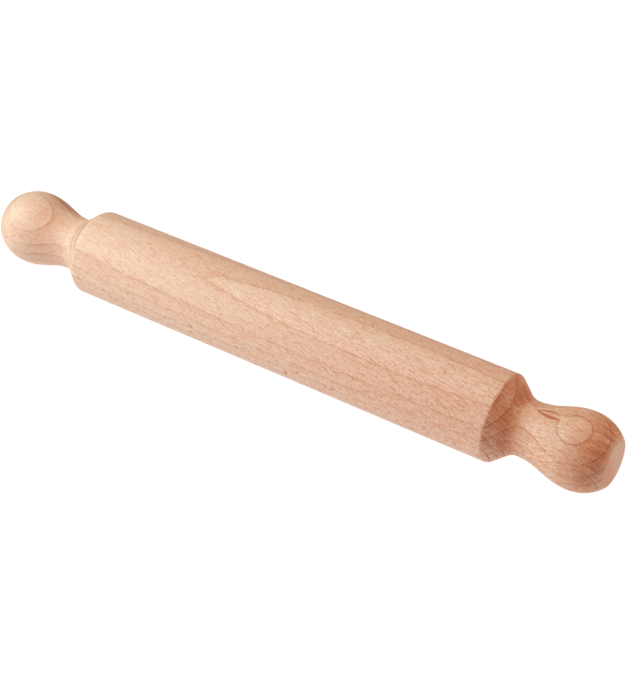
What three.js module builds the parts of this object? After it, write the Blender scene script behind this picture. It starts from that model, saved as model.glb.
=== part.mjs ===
// Turned beech rolling pin with fixed handles, in millimetres.
// The pin lies along X on its barrel, with the origin on the worktop under the middle of the barrel.
import * as THREE from 'three';

// Overall sizes
const PIN_LENGTH = 400;
const BARREL_DIAMETER = 50;
const ROLLING_LENGTH = 269; // straight cylinder between the two rims
const NECK_DIAMETER = 31; // narrowest place of a handle
const KNOB_DIAMETER = 43.3; // widest place of a handle
const END_FLAT_DIAMETER = 26; // flat that is sanded on the end of each knob

// Turned forms
const RIM_RADIUS = 3.2; // rounding where the cylinder turns into the shoulder
const SHOULDER_SLOPE = 40; // degrees below the axis direction
const COVE_RADIUS = 10; // hollow between shoulder and neck
const SEAM_SLOPE = 20; // degrees, slope of the cove where handle and barrel meet
const SWELL_EASE = 0.4; // share of the neck's length that runs on level at each end of the swell
const KNOB_INSET = 18.5; // from the widest place of the knob to its end
const END_EDGE = 0.9; // depth of the soft edge around the end flat

// Glued joint
const SPIGOT_DIAMETER = 18;
const SPIGOT_LENGTH = 32;
const SPIGOT_CHAMFER = 1.5;
const GLUE_FILM = 0.15; // all around the spigot
const GLUE_POCKET = 1; // between the spigot's end and the bottom of the bore

// Steps along the profile and around the axis
const TURN_STEPS = 40; // an even count, so that the pin rests on a flat facet
const RIM_STEPS = 5;
const COVE_STEPS = 3; // in each of the two pieces that share the cove
const SWELL_STEPS = 12;
const CROWN_STEPS = 10;
const EDGE_STEPS = 2;

// Wood seen in daylight
const BARREL_COLOUR = 0xe4bc9c;
const LEFT_HANDLE_COLOUR = 0xe6c0a0;
const RIGHT_HANDLE_COLOUR = 0xdcb08c;
const BARREL_ROUGHNESS = 0.55;
const HANDLE_ROUGHNESS = 0.6;

// Derived sizes
const barrelRadius = BARREL_DIAMETER / 2;
const neckRadius = NECK_DIAMETER / 2;
const knobRadius = KNOB_DIAMETER / 2;
const endFlatRadius = END_FLAT_DIAMETER / 2;
const spigotRadius = SPIGOT_DIAMETER / 2;
const boreRadius = spigotRadius + GLUE_FILM;
const pinEnd = PIN_LENGTH / 2;
const rimStart = ROLLING_LENGTH / 2;
const shoulderSlope = THREE.MathUtils.degToRad(SHOULDER_SLOPE);
const seamSlope = THREE.MathUtils.degToRad(SEAM_SLOPE);

// A profile point has its distance from the axis as x and its place along the axis as y.
const at = (radius, along) => new THREE.Vector2(radius, along);

// The facets touch the true round at their middles, so their corners stand a little outside it.
const facetHalfAngle = Math.PI / TURN_STEPS;
const cornerGrowth = 1 / Math.cos(facetHalfAngle);

// Point of the rim, where the surface has turned down by the given slope
function rimPoint(slope) {
  const radius = barrelRadius - RIM_RADIUS * (1 - Math.cos(slope));
  return at(radius, rimStart + RIM_RADIUS * Math.sin(slope));
}

// The straight shoulder runs from the rim to the place where the cove takes over.
const shoulderTop = rimPoint(shoulderSlope);
const shoulderFootRadius = neckRadius + COVE_RADIUS * (1 - Math.cos(shoulderSlope));
const shoulderRun = (shoulderTop.x - shoulderFootRadius) / Math.tan(shoulderSlope);
const neckPlace = shoulderTop.y + shoulderRun + COVE_RADIUS * Math.sin(shoulderSlope);

// Point of the cove, where the surface still falls by the given slope
function covePoint(slope) {
  const radius = neckRadius + COVE_RADIUS * (1 - Math.cos(slope));
  return at(radius, neckPlace - COVE_RADIUS * Math.sin(slope));
}

const seam = covePoint(seamSlope);
const spigotEnd = seam.y - SPIGOT_LENGTH;
const boreBottom = spigotEnd - GLUE_POCKET;

// Points of an arc that is given by its slope, from one slope to another
function arc(pointAt, fromSlope, toSlope, steps) {
  const points = [];
  for (let i = 0; i <= steps; i += 1) {
    points.push(pointAt(THREE.MathUtils.lerp(fromSlope, toSlope, i / steps)));
  }
  return points;
}

// Surface from the neck out to the widest place of the knob
function swell() {
  const knobPlace = pinEnd - KNOB_INSET;
  const ease = SWELL_EASE * (knobPlace - neckPlace);
  const curve = new THREE.CubicBezierCurve(
    at(neckRadius, neckPlace),
    at(neckRadius, neckPlace + ease),
    at(knobRadius, knobPlace - ease),
    at(knobRadius, knobPlace),
  );
  return curve.getPoints(SWELL_STEPS);
}

// Crown of the knob: part of an ellipse through the rim of the end flat, with a soft edge onto the flat
function crown() {
  const flatShare = endFlatRadius / knobRadius;
  const crownLength = KNOB_INSET / Math.sqrt(1 - flatShare * flatShare);
  const lastTurn = Math.asin((KNOB_INSET - END_EDGE) / crownLength);
  const crownPoint = (turn) => {
    const along = pinEnd - KNOB_INSET + crownLength * Math.sin(turn);
    return at(knobRadius * Math.cos(turn), along);
  };
  const points = arc(crownPoint, 0, lastTurn, CROWN_STEPS);
  const edgeStart = points.at(-1);
  const fall = (knobRadius * Math.sin(lastTurn)) / (crownLength * Math.cos(lastTurn));
  const corner = at(edgeStart.x - fall * END_EDGE, pinEnd);
  const edgeEnd = at(corner.x - corner.distanceTo(edgeStart), pinEnd);
  const edge = new THREE.QuadraticBezierCurve(edgeStart, corner, edgeEnd);
  return [...points, ...edge.getPoints(EDGE_STEPS).slice(1)];
}

// Right half of the barrel, from the cylinder over rim, shoulder and cove into the bore
function barrelHalf() {
  return [
    ...arc(rimPoint, 0, shoulderSlope, RIM_STEPS),
    ...arc(covePoint, shoulderSlope, seamSlope, COVE_STEPS),
    at(boreRadius, seam.y),
    at(boreRadius, boreBottom),
    at(0, boreBottom),
  ];
}

function barrelProfile() {
  const right = barrelHalf();
  const left = right.map((point) => at(point.x, -point.y));
  return [...left.reverse(), ...right];
}

// A handle from the spigot's end on the axis to the end flat on the axis
function handleProfile() {
  return [
    at(0, spigotEnd),
    at(spigotRadius - SPIGOT_CHAMFER, spigotEnd),
    at(spigotRadius, spigotEnd + SPIGOT_CHAMFER),
    at(spigotRadius, seam.y),
    ...arc(covePoint, seamSlope, 0, COVE_STEPS),
    ...swell().slice(1),
    ...crown().slice(1),
    at(0, pinEnd),
  ];
}

// Turns a profile about the pin's axis, with a flat facet at the bottom.
function turned(name, profile, towards, colour, roughness) {
  const corners = profile.map((point) => at(point.x * cornerGrowth, point.y));
  const geometry = new THREE.LatheGeometry(corners, TURN_STEPS, facetHalfAngle);
  const material = new THREE.MeshStandardMaterial({ color: colour, roughness, metalness: 0 });
  material.name = name;
  const mesh = new THREE.Mesh(geometry, material);
  mesh.name = name;
  mesh.rotation.z = -towards * (Math.PI / 2);
  mesh.position.z = barrelRadius;
  return mesh;
}

const RIGHT = 1;
const LEFT = -1;

const pin = new THREE.Group();
pin.name = 'rolling_pin';
pin.add(
  turned('barrel', barrelProfile(), RIGHT, BARREL_COLOUR, BARREL_ROUGHNESS),
  turned('left_handle', handleProfile(), LEFT, LEFT_HANDLE_COLOUR, HANDLE_ROUGHNESS),
  turned('right_handle', handleProfile(), RIGHT, RIGHT_HANDLE_COLOUR, HANDLE_ROUGHNESS),
);

export default pin;
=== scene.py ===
import math
from typing import NamedTuple

import bmesh
import bpy
from mathutils import Color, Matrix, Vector


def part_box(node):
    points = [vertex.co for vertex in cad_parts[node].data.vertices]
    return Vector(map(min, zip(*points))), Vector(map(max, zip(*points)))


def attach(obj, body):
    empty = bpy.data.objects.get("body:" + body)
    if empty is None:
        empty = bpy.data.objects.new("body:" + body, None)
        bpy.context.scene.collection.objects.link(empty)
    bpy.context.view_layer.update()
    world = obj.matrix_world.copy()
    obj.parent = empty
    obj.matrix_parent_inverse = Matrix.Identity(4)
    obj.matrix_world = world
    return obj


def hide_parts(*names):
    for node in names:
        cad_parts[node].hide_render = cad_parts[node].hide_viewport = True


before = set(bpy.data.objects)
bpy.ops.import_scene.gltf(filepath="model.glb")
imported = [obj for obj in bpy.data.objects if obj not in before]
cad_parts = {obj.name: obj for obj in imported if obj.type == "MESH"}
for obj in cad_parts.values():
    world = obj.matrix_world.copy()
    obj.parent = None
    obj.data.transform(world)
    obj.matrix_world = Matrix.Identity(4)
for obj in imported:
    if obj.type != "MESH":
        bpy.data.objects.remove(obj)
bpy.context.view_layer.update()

MM = 0.001

# Sizes that the frame gives, in metres
barrel_low, barrel_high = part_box("barrel")
handle_low, handle_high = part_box("right_handle")
BARREL_RADIUS = (barrel_high.z - barrel_low.z) / 2
AXIS_HEIGHT = (barrel_high.z + barrel_low.z) / 2
KNOB_RADIUS = (handle_high.z - handle_low.z) / 2
SEAM_PLACE = barrel_high.x
SPIGOT_END = handle_low.x
PIN_END = handle_high.x

# Turned forms, as in the frame
RIM_START = 134.5 * MM
RIM_RADIUS = 3.2 * MM
SHOULDER_SLOPE = math.radians(40)
COVE_RADIUS = 10 * MM
NECK_RADIUS = 15.5 * MM
SWELL_EASE = 0.4
KNOB_INSET = 18.5 * MM
END_FLAT_RADIUS = 13 * MM
END_EDGE = 0.9 * MM
SPIGOT_RADIUS = 9 * MM
SPIGOT_CHAMFER = 1.5 * MM
GLUE_FILM = 0.15 * MM
GLUE_POCKET = 1 * MM
SEAM_BEVEL = 0.06 * MM

# Fineness of the meshes
TURN_STEPS = 192
CYLINDER_STEPS = 20  # in each half of the barrel
RIM_STEPS = 14
SHOULDER_STEPS = 6
COVE_STEPS = 12
SWELL_STEPS = 36
CROWN_STEPS = 36
EDGE_STEPS = 6
FLAT_STEPS = 5
SHARP_ANGLE = math.radians(28)

# Photograph's view
CAMERA_AZIMUTH = math.radians(33.463)
CAMERA_ELEVATION = math.radians(38.486)
CAMERA_TARGET = Vector((13.14 * MM, 3.90 * MM, AXIS_HEIGHT - 5.02 * MM))
CAMERA_DISTANCE = 1022.45 * MM
CAMERA_LENS = 96.54
CAMERA_NEAR = 0.05

# Studio, in metres. Each light has its azimuth and elevation in degrees, its watts and its colour.
LIGHTS = {
    "key": (300, 40, 27.2, (0.85, 1.0, 1.0)),
    "warm_fill": (120, 40, 10.6, (1.0, 0.47, 0.23)),
    "warm_front": (0, 15, 2.2, (1.0, 0.1, 0.05)),
}
LIGHT_SIZE = 1.0
LIGHT_DISTANCE = 1.4
FLOOR_REACH = 6.0
FLOOR_GREY = (0.06, 0.06, 0.06, 1.0)
FLOOR_GLOW = 0.99
WHITE = (1.0, 1.0, 1.0, 1.0)

# The blank that the pin is cut from, in millimetres: the pith runs below the pin, in a slightly bent log.
# Each bend has its share of the first, second and third power of the place along the pin.
PITH_DEPTH = 105.5
PITH_TURN = math.radians(22)
BEND_UNIT = 100.0
SIDE_BEND = (1.9, -0.9)
DOWN_BEND = (-1.7, 1.07, 0.21)
RING_WIDTH = 5.33
RING_OFFSET = 24.11
GRAIN_SLOPE = 0.14


class Bulge(NamedTuple):
    """Place on the top of the pin where the rings bulge out, in millimetres."""
    middle: tuple
    reach: tuple
    height: float


class DarkStroke(NamedTuple):
    """Bowed dark stroke on the top of the pin, in millimetres. Most are stains, and the one on the left
    handle is painted shade.
    """
    start: tuple
    end: tuple
    bow: float
    half_width: float
    strength: float


class Look(NamedTuple):
    """What sets the wood of one piece apart. Its end flat sets in where it is as steep as flat_start."""
    tint: tuple
    ring_line: tuple
    flat_start: float
    dark_strokes: list


BULGES = [
    Bulge(middle=(163.5, -3.0), reach=(11.0, 4.5), height=2.4),
    Bulge(middle=(-42.0, -9.8), reach=(15.0, 4.5), height=0.24),
]

BARREL_LOOK = Look(
    tint=(0.935, 0.945, 0.940),
    ring_line=(221, 172, 138),
    flat_start=0.7,
    dark_strokes=[DarkStroke(start=(142.0, 0.4), end=(149.5, -1.2), bow=0.0, half_width=2.6, strength=0.42)],
)
LEFT_HANDLE_LOOK = Look(
    tint=(0.920, 0.925, 0.915),
    ring_line=(224, 178, 146),
    flat_start=0.5,
    # Painted shade: a dark stroke on the back of the left swell, where it faces away from the light
    dark_strokes=[DarkStroke(start=(-181.0, 12.0), end=(-155.0, 9.0), bow=0.0, half_width=4.5, strength=0.38)],
)
RIGHT_HANDLE_LOOK = Look(
    tint=(0.878, 0.803, 0.735),
    ring_line=(207, 144, 104),
    flat_start=0.5,
    dark_strokes=[
        DarkStroke(start=(154.6, -1.0), end=(171.6, -5.4), bow=-0.75, half_width=1.3, strength=0.85),
        DarkStroke(start=(154.6, -1.0), end=(168.0, -1.3), bow=1.0, half_width=1.0, strength=0.85),
    ],
)

# Colours of the wood in even light, as red, green and blue of a picture
RING_START = (238, 204, 181)
EARLY_WOOD = (237, 202, 178)
MIDDLE_WOOD = (235, 199, 174)
LATE_WOOD = (229, 189, 162)
END_RING_START = (248, 222, 203)
END_LATE_WOOD = (226, 183, 155)
END_RING_LINE = (196, 122, 82)
PALE_FLECK = (244, 222, 203)
FLECK = (218, 154, 113)
LARGE_FLECK = (198, 130, 90)
# Dark colour of the stains, also used for the stroke of painted shade on the left handle
STAIN_AND_SHADE_COLOUR = (172, 84, 46)

# One year's growth on the side of a piece, with the span of its dark last line, and on end grain
SIDE_RING = [(0.0, RING_START), (0.12, EARLY_WOOD), (0.55, MIDDLE_WOOD), (0.91, LATE_WOOD)]
RING_LINE_SPAN = (0.955, 0.985)
END_RING = [
    (0.0, END_RING_START),
    (0.05, END_RING_START),
    (0.10, EARLY_WOOD),
    (0.50, MIDDLE_WOOD),
    (0.86, END_LATE_WOOD),
    (0.94, END_RING_LINE),
    (1.0, END_RING_LINE),
]

# Tints that the colours are multiplied by
# Heart tints: redder heart wood, and partly painted warm shade, as the reddening is kept off the sides
# that face the light
HEART_AND_SHADE_TINT = (0.96, 0.83, 0.78, 1.0)
HEART_END_AND_SHADE_TINT = (0.95, 0.75, 0.62, 1.0)
# The left end's top and back are darker than its front: end grain with painted shade on the sides turned
# away from the light
LEFT_END_TOP_SHADE_TINT = (0.81, 0.64, 0.57, 1.0)
LEFT_END_FRONT_TINT = (0.86, 0.83, 0.81, 1.0)
# Painted shade: a darker, redder band in the right cove between barrel and handle
RIGHT_COVE_SHADE_TINT = (0.96, 0.87, 0.81, 1.0)
RIGHT_END_TINT = (0.96, 1.00, 1.06, 1.0)
END_FLAT_TINT = (0.815, 0.885, 0.91)
FLAT_EDGE_TINT = (1.10, 1.15, 1.20, 1.0)

# Patches of the figure in millimetres: along the grain, around the pith and outwards from it
SLOW_WAVE_CELL = (70.0, 9.0, 9.0)
QUICK_WAVE_CELL = (3.5, 0.5, 1.2)
STREAK_CELL = (90.0, 5.0, 5.0)
SHORT_DASH_CELL = (1.6, 0.30, 0.7)
LONG_DASH_CELL = (6.0, 0.30, 1.2)
SMALL_RAY_CELL = (3.0, 0.65, 9.0)
LARGE_RAY_CELL = (4.5, 1.7, 13.0)
RAY_SHEET_CELL = (14.0, 0.5, 14.0)
FIBRE_CELL = (7.0, 0.28, 0.5)

# Waves of the rings in millimetres, about the middle value of a noise
NOISE_MIDDLE = 0.5
SLOW_WAVE_HEIGHT = 0.5
QUICK_WAVE_HEIGHT = 0.5

# The fades below run from their first number to their second. Where two more follow, these are the
# results there, which are otherwise 0 and 1.

# Fades by steepness: 0 on the cylinder, 1 on the end flats
END_GRAIN = (0.12, 0.62)
END_TINTED = (0.34, 0.66)
HEART_END = (0.08, 0.4)
FLAT_CALM = (0.62, 0.80)
FLAT_FULL = 0.78
FLAT_EDGE_INNER = (0.95, 0.80)

# Fades by the side that the surface faces: -1 is the left end, 1 the right end
# Keeps the redder heart off the left-facing sides that the key light falls on: painted warm shade on the
# other sides
HEART_SHADE_FACING = (-0.2, 0.0)
RIGHT_FACING = (-0.1, 0.1)

# Fades along the pin in millimetres
FIGURE_STRENGTH = (-150.0, 210.0, 0.86, 1.44)
LEFT_KNOB_CALM = (-176.0, -191.0, 0.0, 0.68)
HATCHING_STRENGTH = (-60.0, 120.0, 0.1, 0.79)
HEART_STRENGTH = (-60.0, 110.0, 0.40, 1.0)
COVE_INNER = (139.5, 143.0)
COVE_OUTER = (150.0, 146.0)
GLUE_LINE = (0.5, 0.1, 0.0, 0.45)  # by the distance from the left joint

# Fades around the pith in millimetres, and LEFT_FOOT by the height above the axis
HEART_TOP = (-3.0, 6.0)
HEART_FOOT = (28.0, 17.0)
LEFT_FRONT = (-4.0, 18.0)
LEFT_FOOT = (8.0, -6.0)
QUARTER_CUT = (20.0, 24.5, 0.25, 0.85)

# Fades of the noises and cells of the figure
STREAKS = (0.35, 0.75, 0.0, 0.30)
PALE_DASHES = (0.97, 0.66, 0.0, 0.58)
DARK_DASHES = (1.0, 1.40, 0.0, 0.75)
DASHES_ON_FLAT = (0.0, 1.0, 1.0, 0.4)
SMALL_RAY_BODY = (0.34, 0.14)
SMALL_RAY_STRENGTH = 0.44
LARGE_RAY_BODY = (0.30, 0.16)
LARGE_RAY_CHOICE = (0.55, 0.8)
HATCHING = (0.46, 0.68)
HATCHING_ON_FLAT = (0.0, 1.0, 1.0, 0.1)

# Fades of a dark stroke, for the stains and for the painted shade on the left handle: its width and its
# ends by the share of its length, its edge by the share of its half width, and its foot by the height
# above the axis
DARK_STROKE_WIDENS = (0.0, 0.6, 0.45, 1.0)
DARK_STROKE_NARROWS = (1.0, 0.6, 0.2, 1.0)
DARK_STROKE_EDGE = (1.3, 0.1)
DARK_STROKE_BEGINS = (0.0, 0.12)
DARK_STROKE_ENDS = (1.0, 0.85)
DARK_STROKE_FOOT = (0.0, 1.0)

# Finish of the surface
FIBRE_ROUGHNESS = (0.3, 0.8, 0.50, 0.66)
SPECULAR = 0.35
BUMP_STRENGTH = 0.1
BUMP_DEPTH = 0.06 * MM


def linear(red, green, blue):
    """Colour for a shader, from its values in a picture."""
    picture = Color((red / 255, green / 255, blue / 255))
    return (*picture.from_srgb_to_scene_linear(), 1.0)


# Profiles: points are (place along X, radius)

def spread(point_at, start, end, steps):
    """Points of a curve at even steps from start to end."""
    return [point_at(start + (end - start) * i / steps) for i in range(steps + 1)]


def line_points(start, end, steps):
    """Points of a straight line after its start."""
    return spread(lambda t: tuple(a + (b - a) * t for a, b in zip(start, end)), 0, 1, steps)[1:]


def rim_point(slope):
    """Point of the rim where the surface has turned down by a slope."""
    return (RIM_START + RIM_RADIUS * math.sin(slope), BARREL_RADIUS - RIM_RADIUS * (1 - math.cos(slope)))


shoulder_top = rim_point(SHOULDER_SLOPE)
shoulder_foot_radius = NECK_RADIUS + COVE_RADIUS * (1 - math.cos(SHOULDER_SLOPE))
shoulder_run = (shoulder_top[1] - shoulder_foot_radius) / math.tan(SHOULDER_SLOPE)
NECK_PLACE = shoulder_top[0] + shoulder_run + COVE_RADIUS * math.sin(SHOULDER_SLOPE)


def cove_point(slope):
    """Point of the cove where the surface still falls by a slope."""
    return (NECK_PLACE - COVE_RADIUS * math.sin(slope), NECK_RADIUS + COVE_RADIUS * (1 - math.cos(slope)))


seam_slope = math.asin((NECK_PLACE - SEAM_PLACE) / COVE_RADIUS)
seam_radius = cove_point(seam_slope)[1]
bevel_slope = SEAM_BEVEL / COVE_RADIUS


def swell_point(share):
    """Neck to widest place of the knob, level at both ends."""
    knob_place = PIN_END - KNOB_INSET
    ease = SWELL_EASE * (knob_place - NECK_PLACE)
    corners = (
        Vector((NECK_PLACE, NECK_RADIUS)),
        Vector((NECK_PLACE + ease, NECK_RADIUS)),
        Vector((knob_place - ease, KNOB_RADIUS)),
        Vector((knob_place, KNOB_RADIUS)),
    )
    weights = ((1 - share) ** 3, 3 * share * (1 - share) ** 2, 3 * share**2 * (1 - share), share**3)
    return tuple(sum((c * w for c, w in zip(corners, weights)), Vector((0, 0))))


def crown():
    """Elliptical crown of the knob and the soft edge of its end flat."""
    crown_length = KNOB_INSET / math.sqrt(1 - (END_FLAT_RADIUS / KNOB_RADIUS) ** 2)
    last_turn = math.asin((KNOB_INSET - END_EDGE) / crown_length)

    def crown_point(turn):
        return (PIN_END - KNOB_INSET + crown_length * math.sin(turn), KNOB_RADIUS * math.cos(turn))

    points = spread(crown_point, 0, last_turn, CROWN_STEPS)
    start = Vector(points[-1])
    fall = KNOB_RADIUS * math.sin(last_turn) / (crown_length * math.cos(last_turn))
    corner = Vector((PIN_END, start.y - fall * END_EDGE))
    end = Vector((PIN_END, corner.y - (corner - start).length))

    def edge_point(share):
        return tuple(start * (1 - share) ** 2 + corner * 2 * share * (1 - share) + end * share**2)

    return points + spread(edge_point, 0, 1, EDGE_STEPS)[1:]


def barrel_half():
    """From the middle of the barrel to the right, over rim, shoulder and cove into the bore."""
    bore_radius = SPIGOT_RADIUS + GLUE_FILM
    bore_bottom = SPIGOT_END - GLUE_POCKET
    points = spread(lambda share: (RIM_START * share, BARREL_RADIUS), 0, 1, CYLINDER_STEPS)
    points += spread(rim_point, 0, SHOULDER_SLOPE, RIM_STEPS)[1:]
    points += line_points(points[-1], cove_point(SHOULDER_SLOPE), SHOULDER_STEPS)
    points += spread(cove_point, SHOULDER_SLOPE, seam_slope + bevel_slope, COVE_STEPS)[1:]
    points.append((SEAM_PLACE, seam_radius - SEAM_BEVEL))
    points += [(SEAM_PLACE, bore_radius), (bore_bottom, bore_radius), (bore_bottom, 0.0)]
    return points


def mirrored(profile):
    """The same profile at the other end of the pin."""
    return [(-along, radius) for along, radius in profile]


def barrel_profile():
    """Whole barrel, from the bottom of its left bore to the bottom of its right one."""
    right = barrel_half()
    return mirrored(reversed(right[1:])) + right


def handle_profile():
    """Right handle, from the end of its spigot to its end flat."""
    points = [
        (SPIGOT_END, 0.0),
        (SPIGOT_END, SPIGOT_RADIUS - SPIGOT_CHAMFER),
        (SPIGOT_END + SPIGOT_CHAMFER, SPIGOT_RADIUS),
        (SEAM_PLACE, SPIGOT_RADIUS),
        (SEAM_PLACE, seam_radius - SEAM_BEVEL),
    ]
    points += spread(cove_point, seam_slope - bevel_slope, 0, COVE_STEPS)
    points += spread(swell_point, 0, 1, SWELL_STEPS)[1:]
    points += crown()[1:]
    points += line_points(points[-1], (PIN_END, 0.0), FLAT_STEPS)
    return points


# Meshes

def turned_ring(mesh, along, radius):
    """Vertices around the axis, or a single one on it."""
    if radius == 0.0:
        return [mesh.verts.new((along, 0.0, AXIS_HEIGHT))]
    ring = []
    for i in range(TURN_STEPS):
        angle = 2 * math.pi * i / TURN_STEPS
        across, up = radius * math.sin(angle), radius * math.cos(angle)
        ring.append(mesh.verts.new((along, across, AXIS_HEIGHT + up)))
    return ring


def turned(name, profile):
    """Closed mesh made by turning a profile that starts and ends on the axis."""
    mesh = bmesh.new()
    rings = [turned_ring(mesh, along, radius) for along, radius in profile]
    for before, after in zip(rings, rings[1:]):
        for i in range(TURN_STEPS):
            j = (i + 1) % TURN_STEPS
            if len(before) == 1:
                mesh.faces.new((before[0], after[i], after[j]))
            elif len(after) == 1:
                mesh.faces.new((before[i], after[0], before[j]))
            else:
                mesh.faces.new((before[i], after[i], after[j], before[j]))
    bmesh.ops.recalc_face_normals(mesh, faces=mesh.faces)
    data = bpy.data.meshes.new(name)
    mesh.to_mesh(data)
    mesh.free()
    data.shade_smooth()
    data.set_sharp_from_angle(angle=SHARP_ANGLE)
    piece = bpy.data.objects.new(name, data)
    bpy.context.scene.collection.objects.link(piece)
    return piece


# Shader nodes

class Nodes:
    """Makes shader nodes. Each input takes a number, a colour, a vector or another node's output."""

    def __init__(self, tree):
        self.tree = tree

    def feed(self, socket, value):
        if isinstance(value, bpy.types.NodeSocket):
            self.tree.links.new(value, socket)
        else:
            socket.default_value = value

    def add(self, kind, inputs, **settings):
        node = self.tree.nodes.new(kind)
        for key, value in settings.items():
            setattr(node, key, value)
        for key, value in inputs.items():
            self.feed(node.inputs[key], value)
        return node

    def math(self, operation, *values):
        return self.add("ShaderNodeMath", dict(enumerate(values)), operation=operation).outputs[0]

    def product(self, first, *others):
        for other in others:
            first = self.math("MULTIPLY", first, other)
        return first

    def polynomial(self, value, factors):
        """Sum of the factors times the first, second and higher powers of a value."""
        total = factors[-1]
        for factor in reversed(factors[:-1]):
            total = self.math("ADD", self.math("MULTIPLY", value, total), factor)
        return self.math("MULTIPLY", value, total)

    def vector(self, operation, *values):
        return self.add("ShaderNodeVectorMath", dict(enumerate(values)), operation=operation).outputs[0]

    def dot(self, vector, axis):
        node = self.add("ShaderNodeVectorMath", {0: vector, 1: axis}, operation="DOT_PRODUCT")
        return node.outputs["Value"]

    def length(self, vector):
        return self.add("ShaderNodeVectorMath", {0: vector}, operation="LENGTH").outputs["Value"]

    def split(self, vector):
        return self.add("ShaderNodeSeparateXYZ", {0: vector}).outputs

    def join(self, x, y, z):
        return self.add("ShaderNodeCombineXYZ", {0: x, 1: y, 2: z}).outputs[0]

    def fade(self, value, start, end, low=0.0, high=1.0):
        """Runs smoothly from low to high as value goes from start to end."""
        inputs = {"Value": value, "From Min": start, "From Max": end, "To Min": low, "To Max": high}
        return self.add("ShaderNodeMapRange", inputs, interpolation_type="SMOOTHSTEP").outputs[0]

    def noise(self, vector, cell, detail=2.0, roughness=0.5):
        """Noise whose patches have about the size of cell, in millimetres."""
        scaled = self.vector("DIVIDE", vector, cell)
        inputs = {"Vector": scaled, "Scale": 1.0, "Detail": detail, "Roughness": roughness}
        return self.add("ShaderNodeTexNoise", inputs).outputs["Fac"]

    def cells(self, vector, cell):
        """Distance to the middle of the nearest cell, and a random number for each cell."""
        scaled = self.vector("DIVIDE", vector, cell)
        node = self.add("ShaderNodeTexVoronoi", {"Vector": scaled, "Scale": 1.0})
        return node.outputs["Distance"], self.split(node.outputs["Color"])[0]

    def mix(self, factor, low, high, blend="MIX"):
        inputs = {0: factor, 6: low, 7: high}
        return self.add("ShaderNodeMix", inputs, data_type="RGBA", blend_type=blend).outputs[2]

    def tinted(self, factor, colour, tint):
        return self.mix(factor, colour, tint, blend="MULTIPLY")

    def ramp(self, value, stops):
        node = self.add("ShaderNodeValToRGB", {0: value})
        elements = node.color_ramp.elements
        while len(elements) < len(stops):
            elements.new(0.5)
        for element, (position, colour) in zip(elements, stops):
            element.position = position
            element.color = colour
        return node.outputs[0]


class Blank:
    """Place of a surface point in the blank, as shader outputs in millimetres."""

    def __init__(self, nodes):
        coordinates = nodes.add("ShaderNodeTexCoord", {})
        centre = nodes.vector("SUBTRACT", coordinates.outputs["Object"], (0.0, 0.0, AXIS_HEIGHT))
        self.pin = nodes.vector("DIVIDE", centre, (MM, MM, MM))
        self.height = nodes.split(self.pin)[2]
        self.facing = nodes.split(coordinates.outputs["Normal"])[0]
        turn = nodes.add(
            "ShaderNodeVectorRotate", {"Vector": self.pin, "Angle": -PITH_TURN}, rotation_type="X_AXIS"
        )
        self.along, across, up = nodes.split(turn.outputs[0])
        bend = nodes.math("DIVIDE", self.along, BEND_UNIT)
        sideways = nodes.math("ADD", across, nodes.polynomial(bend, SIDE_BEND))
        sideways = nodes.math("MULTIPLY", sideways, -1.0)
        rise = nodes.math("ADD", up, PITH_DEPTH)
        radial = nodes.length(nodes.join(sideways, rise, 0.0))
        self.around = nodes.math("MULTIPLY", nodes.math("ARCTAN2", sideways, rise), PITH_DEPTH)
        growth = nodes.math("SUBTRACT", radial, PITH_DEPTH)
        self.growth = nodes.math("SUBTRACT", growth, nodes.polynomial(bend, DOWN_BEND))
        for bulge in BULGES:
            self.growth = nodes.math("ADD", self.growth, self.bulge_height(nodes, bulge))
        slanted = nodes.math("SUBTRACT", self.around, nodes.math("MULTIPLY", self.along, GRAIN_SLOPE))
        self.grain = nodes.join(self.along, slanted, radial)
        self.sheets = nodes.join(self.along, self.around, radial)

    def bulge_height(self, nodes, bulge):
        """How far a bulge lifts the rings at a place, most in its middle."""
        offset = nodes.vector("SUBTRACT", self.pin, (*bulge.middle, 0.0))
        reach_along, reach_across = bulge.reach
        scaled = nodes.vector("MULTIPLY", offset, (1 / reach_along, 1 / reach_across, 0.0))
        return nodes.fade(nodes.length(scaled), 1.0, 0.0, 0.0, bulge.height)


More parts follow.
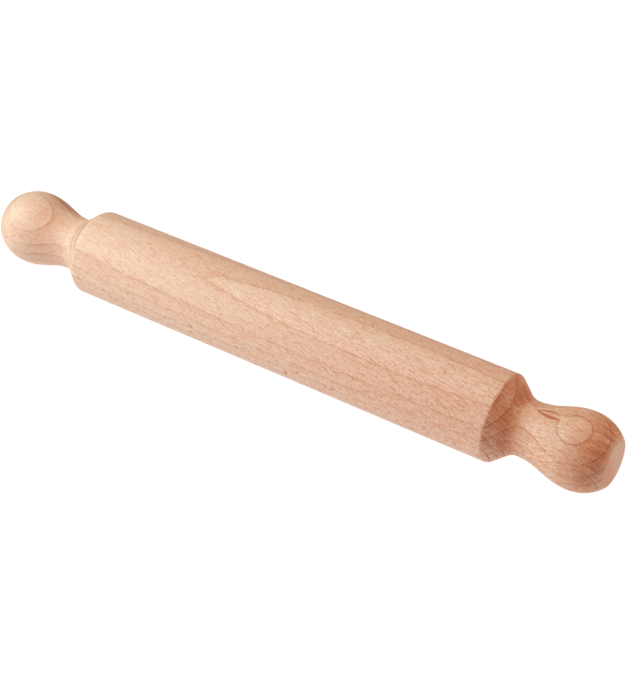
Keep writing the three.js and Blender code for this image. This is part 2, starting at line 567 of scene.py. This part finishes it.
class Beech:
    """Sanded beech of one piece: growth rings, grain, rays, end grain and stains, with some painted
    shade.
    """

    def __init__(self, name, look):
        self.look = look
        self.material = bpy.data.materials.new(name)
        self.material.use_nodes = True
        nodes = self.nodes = Nodes(self.material.node_tree)
        blank = self.blank = Blank(nodes)
        self.steepness = nodes.math("ABSOLUTE", blank.facing)
        self.end_grain = nodes.fade(self.steepness, *END_GRAIN)
        self.calm_flat = nodes.fade(self.steepness, *FLAT_CALM)
        self.figure = nodes.fade(blank.along, *FIGURE_STRENGTH)
        small_distance, small_tone = nodes.cells(blank.grain, SMALL_RAY_CELL)
        self.small_ray = nodes.product(nodes.fade(small_distance, *SMALL_RAY_BODY), small_tone)
        colour = self.rings()
        for layer in (self.streaks, self.dashes, self.rays, self.heart_and_warm_shade, self.ends_and_shade, self.marks_and_shade):
            colour = layer(colour)
        self.finish(colour)

    def wood(self, colour):
        """Colour of the wood in this piece."""
        return tuple(c * t for c, t in zip(linear(*colour), (*self.look.tint, 1.0)))

    def ring_colour(self, phase, stops):
        return self.nodes.ramp(phase, [(place, self.wood(colour)) for place, colour in stops])

    def rings(self):
        """Growth rings, a little wavy, and faint at the end of the left knob."""
        nodes, blank = self.nodes, self.blank
        growth = blank.growth
        for cell, height in ((SLOW_WAVE_CELL, SLOW_WAVE_HEIGHT), (QUICK_WAVE_CELL, QUICK_WAVE_HEIGHT)):
            wave = nodes.math("SUBTRACT", nodes.noise(blank.grain, cell), NOISE_MIDDLE)
            growth = nodes.math("ADD", growth, nodes.math("MULTIPLY", wave, height))
        years = nodes.math("DIVIDE", nodes.math("SUBTRACT", growth, RING_OFFSET), RING_WIDTH)
        phase = nodes.math("FRACT", years)
        line = [(place, self.look.ring_line) for place in RING_LINE_SPAN]
        side_colour = self.ring_colour(phase, [*SIDE_RING, *line, (1.0, RING_START)])
        end_colour = self.ring_colour(phase, END_RING)
        colour = nodes.mix(self.end_grain, side_colour, end_colour)
        return nodes.mix(nodes.fade(blank.along, *LEFT_KNOB_CALM), colour, self.wood(LATE_WOOD))

    def streaks(self, colour):
        """Slow changes of tone along the grain."""
        streak = self.nodes.noise(self.blank.grain, STREAK_CELL, detail=3.0)
        return self.nodes.mix(self.nodes.fade(streak, *STREAKS), colour, self.wood(LATE_WOOD))

    def dashes(self, colour):
        """Pale and dark dashes of the grain, plainer towards the left end and on the end flats."""
        nodes, grain = self.nodes, self.blank.grain
        short_dashes = nodes.noise(grain, SHORT_DASH_CELL, detail=0.0)
        long_dashes = nodes.noise(grain, LONG_DASH_CELL, detail=0.0)
        dashes = nodes.math("ADD", short_dashes, long_dashes)
        strength = nodes.product(self.figure, nodes.fade(self.calm_flat, *DASHES_ON_FLAT))
        for span, fleck in ((PALE_DASHES, PALE_FLECK), (DARK_DASHES, FLECK)):
            share = nodes.product(nodes.fade(dashes, *span), strength)
            colour = nodes.mix(share, colour, self.wood(fleck))
        return colour

    def rays(self, colour):
        """Small rays, larger ones where the wood is cut towards the pith, hatching on end grain."""
        nodes, blank = self.nodes, self.blank
        small_share = nodes.product(self.small_ray, SMALL_RAY_STRENGTH)
        colour = nodes.mix(small_share, colour, self.wood(FLECK))
        distance, tone = nodes.cells(blank.grain, LARGE_RAY_CELL)
        large_share = nodes.product(
            nodes.fade(distance, *LARGE_RAY_BODY),
            nodes.fade(tone, *LARGE_RAY_CHOICE),
            nodes.fade(nodes.math("ABSOLUTE", blank.around), *QUARTER_CUT),
            self.figure,
        )
        colour = nodes.mix(large_share, colour, self.wood(LARGE_FLECK))
        hatching = nodes.product(
            nodes.fade(nodes.noise(blank.sheets, RAY_SHEET_CELL, detail=0.0), *HATCHING),
            self.end_grain,
            nodes.fade(blank.along, *HATCHING_STRENGTH),
            nodes.fade(self.calm_flat, *HATCHING_ON_FLAT),
        )
        return nodes.mix(hatching, colour, self.wood(LARGE_FLECK))

    def heart_and_warm_shade(self, colour):
        """Redder heart wood along the front, stronger towards the right end; as it is kept off the sides
        that face the light from the left, it is partly painted warm shade.
        """
        nodes, blank = self.nodes, self.blank
        share = nodes.product(
            nodes.fade(blank.along, *HEART_STRENGTH),
            # Painted shade: the reddening stops on sides that face the light from the left
            nodes.fade(blank.facing, *HEART_SHADE_FACING),
            nodes.fade(blank.around, *HEART_TOP),
            nodes.fade(blank.around, *HEART_FOOT),
        )
        tint = nodes.mix(nodes.fade(self.steepness, *HEART_END), HEART_AND_SHADE_TINT, HEART_END_AND_SHADE_TINT)
        return nodes.tinted(share, colour, tint)

    def ends_and_shade(self, colour):
        """End grain, darker at the left end and darkest on its top and back as painted shade, a redder
        right cove as painted shade, and pale sanded end flats.
        """
        nodes, blank = self.nodes, self.blank
        # Painted shade: the top and back of the left end get a darker tint than its front and foot
        left_front = nodes.math(
            "MAXIMUM", nodes.fade(blank.around, *LEFT_FRONT), nodes.fade(blank.height, *LEFT_FOOT)
        )
        left_end_and_shade_tint = nodes.mix(left_front, LEFT_END_TOP_SHADE_TINT, LEFT_END_FRONT_TINT)
        end_grain_and_shade_tint = nodes.mix(nodes.fade(blank.facing, *RIGHT_FACING), left_end_and_shade_tint, RIGHT_END_TINT)
        colour = nodes.tinted(nodes.fade(self.steepness, *END_TINTED), colour, end_grain_and_shade_tint)
        # Painted shade: a darker, redder band in the right cove between barrel and handle
        cove_shade = nodes.product(nodes.fade(blank.along, *COVE_INNER), nodes.fade(blank.along, *COVE_OUTER))
        colour = nodes.tinted(cove_shade, colour, RIGHT_COVE_SHADE_TINT)
        flat = nodes.fade(self.steepness, self.look.flat_start, FLAT_FULL)
        flat_tint = (f / (t * e) for f, t, e in zip(END_FLAT_TINT, self.look.tint, RIGHT_END_TINT))
        colour = nodes.tinted(flat, colour, (*flat_tint, 1.0))
        edge = nodes.product(flat, nodes.fade(self.steepness, *FLAT_EDGE_INNER))
        return nodes.tinted(edge, colour, FLAT_EDGE_TINT)

    def marks_and_shade(self, colour):
        """Glue line of the left joint, stains, and a stroke of painted shade on the left handle."""
        nodes = self.nodes
        from_seam = nodes.math("ABSOLUTE", nodes.math("ADD", self.blank.along, SEAM_PLACE / MM))
        colour = nodes.mix(nodes.fade(from_seam, *GLUE_LINE), colour, self.wood(FLECK))
        for dark_stroke in self.look.dark_strokes:
            share = nodes.product(self.dark_stroke_share(dark_stroke), dark_stroke.strength)
            colour = nodes.mix(share, colour, linear(*STAIN_AND_SHADE_COLOUR))
        return colour

    def dark_stroke_share(self, dark_stroke):
        """How much of a dark stroke covers a place: a bowed stroke that tapers to both ends."""
        nodes = self.nodes
        run = Vector(dark_stroke.end) - Vector(dark_stroke.start)
        along_axis = (*(run / run.length_squared), 0.0)
        across_axis = (-run.y / run.length, run.x / run.length, 0.0)
        offset = nodes.vector("SUBTRACT", self.blank.pin, (*dark_stroke.start, 0.0))
        along = nodes.dot(offset, along_axis)
        # The bow is a parabola that is full in the middle of the stroke.
        bow = nodes.product(along, nodes.math("SUBTRACT", 1.0, along), 4 * dark_stroke.bow)
        across = nodes.math("ABSOLUTE", nodes.math("SUBTRACT", nodes.dot(offset, across_axis), bow))
        width = nodes.product(
            nodes.fade(along, *DARK_STROKE_WIDENS), nodes.fade(along, *DARK_STROKE_NARROWS), dark_stroke.half_width
        )
        return nodes.product(
            nodes.fade(nodes.math("DIVIDE", across, width), *DARK_STROKE_EDGE),
            nodes.fade(along, *DARK_STROKE_BEGINS),
            nodes.fade(along, *DARK_STROKE_ENDS),
            nodes.fade(self.blank.height, *DARK_STROKE_FOOT),
        )

    def finish(self, colour):
        """Colour, sheen and fine relief of the sanded surface."""
        nodes = self.nodes
        shader = self.material.node_tree.nodes["Principled BSDF"]
        nodes.feed(shader.inputs["Base Color"], colour)
        fibre = nodes.noise(self.blank.grain, FIBRE_CELL, detail=3.0, roughness=0.6)
        nodes.feed(shader.inputs["Roughness"], nodes.fade(fibre, *FIBRE_ROUGHNESS))
        shader.inputs["Specular IOR Level"].default_value = SPECULAR
        relief = nodes.math("SUBTRACT", fibre, self.small_ray)
        inputs = {"Height": relief, "Strength": BUMP_STRENGTH, "Distance": BUMP_DEPTH}
        nodes.feed(shader.inputs["Normal"], nodes.add("ShaderNodeBump", inputs).outputs[0])


# Pieces

def make_piece(name, profile, node, look):
    """One turned piece that stands for a node of the frame."""
    piece = turned(name, profile)
    piece.data.materials.append(Beech(name + "_beech", look).material)
    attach(piece, "root")
    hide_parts(node)


make_piece("barrel_turning", barrel_profile(), "barrel", BARREL_LOOK)
make_piece("left_handle_turning", mirrored(handle_profile()), "left_handle", LEFT_HANDLE_LOOK)
make_piece("right_handle_turning", handle_profile(), "right_handle", RIGHT_HANDLE_LOOK)


# Stage

def from_azimuth(azimuth, elevation):
    """Direction to the pin's front at azimuth 0, turning towards its right end, and up."""
    level = math.cos(elevation)
    return Vector((math.sin(azimuth) * level, -math.cos(azimuth) * level, math.sin(elevation)))


def make_floor():
    """Pale floor that glows, like a light table."""
    data = bpy.data.meshes.new("floor")
    corners = [(x * FLOOR_REACH, y * FLOOR_REACH, 0.0) for x, y in ((-1, -1), (1, -1), (1, 1), (-1, 1))]
    data.from_pydata(corners, [], [(0, 1, 2, 3)])
    floor = bpy.data.objects.new("floor", data)
    bpy.context.scene.collection.objects.link(floor)
    material = bpy.data.materials.new("pale_floor")
    material.use_nodes = True
    shader = material.node_tree.nodes["Principled BSDF"]
    shader.inputs["Base Color"].default_value = FLOOR_GREY
    shader.inputs["Roughness"].default_value = 1.0
    shader.inputs["Specular IOR Level"].default_value = 0.0
    shader.inputs["Emission Color"].default_value = WHITE
    shader.inputs["Emission Strength"].default_value = FLOOR_GLOW
    data.materials.append(material)


def make_world():
    """White backdrop beyond the floor that adds no light of its own."""
    world = bpy.data.worlds.new("studio")
    bpy.context.scene.world = world
    world.use_nodes = True
    background = world.node_tree.nodes["Background"]
    background.inputs["Color"].default_value = WHITE
    background.inputs["Strength"].default_value = 1.0
    world.cycles_visibility.diffuse = False
    world.cycles_visibility.glossy = False


def make_light(name, azimuth, elevation, watts, colour):
    """Soft square light that shines at the pin from a direction."""
    light = bpy.data.lights.new(name, "AREA")
    light.shape = "SQUARE"
    light.size = LIGHT_SIZE
    light.energy = watts
    light.color = colour
    lamp = bpy.data.objects.new(name, light)
    aim = from_azimuth(math.radians(azimuth), math.radians(elevation))
    lamp.location = Vector((0.0, 0.0, AXIS_HEIGHT)) + aim * LIGHT_DISTANCE
    lamp.rotation_euler = aim.to_track_quat("Z", "Y").to_euler()
    bpy.context.scene.collection.objects.link(lamp)


def make_camera():
    """Camera at the photograph's viewing angle."""
    data = bpy.data.cameras.new("camera")
    data.lens = CAMERA_LENS
    data.clip_start = CAMERA_NEAR
    camera = bpy.data.objects.new("camera", data)
    back = from_azimuth(CAMERA_AZIMUTH, CAMERA_ELEVATION)
    camera.location = CAMERA_TARGET + back * CAMERA_DISTANCE
    camera.rotation_euler = back.to_track_quat("Z", "Y").to_euler()
    bpy.context.scene.collection.objects.link(camera)
    bpy.context.scene.camera = camera


make_floor()
make_world()
for light_name, light_values in LIGHTS.items():
    make_light(light_name, *light_values)
make_camera()
bpy.context.scene.view_settings.view_transform = "Standard"
